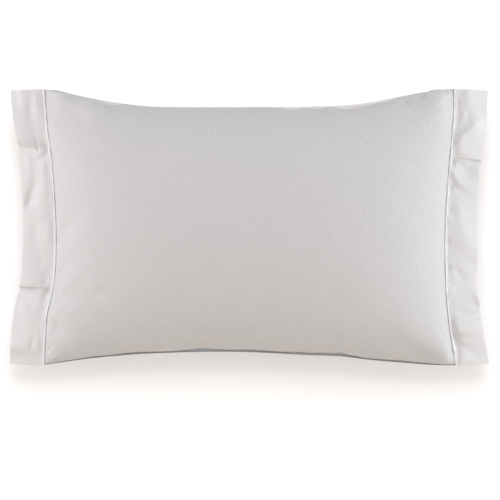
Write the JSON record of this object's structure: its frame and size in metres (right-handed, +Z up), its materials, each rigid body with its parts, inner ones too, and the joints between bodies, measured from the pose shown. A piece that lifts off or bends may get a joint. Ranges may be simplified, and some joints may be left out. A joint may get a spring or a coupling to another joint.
{
  "type": "filled pillowcase with end borders",
  "caption": "Cotton pillowcase on its filling, lying on its back, with a flat border at each end and piping in the seams.",
  "frame": {"origin": "under the middle of the object's box, on the surface that the pillow lies on", "axes": "+X along the pillow from the left border to the right one, +Y across it towards the edge at the top of the picture, +Z up out of its face"},
  "size_m": [0.859, 0.5006, 0.1712],
  "materials": {
    "bag_cotton": "plain-woven pearl grey cotton with fine upright slubs",
    "border_cotton": "the same pearl grey cotton, pressed smooth in two layers",
    "piping_cotton": "white cotton over a round cord"
  },
  "bodies": {
    "root": {"filled_bag": "bag_cotton", "left_border": "border_cotton", "right_border": "border_cotton", "left_piping": "piping_cotton", "right_piping": "piping_cotton"}
  },
  "joints": []
}
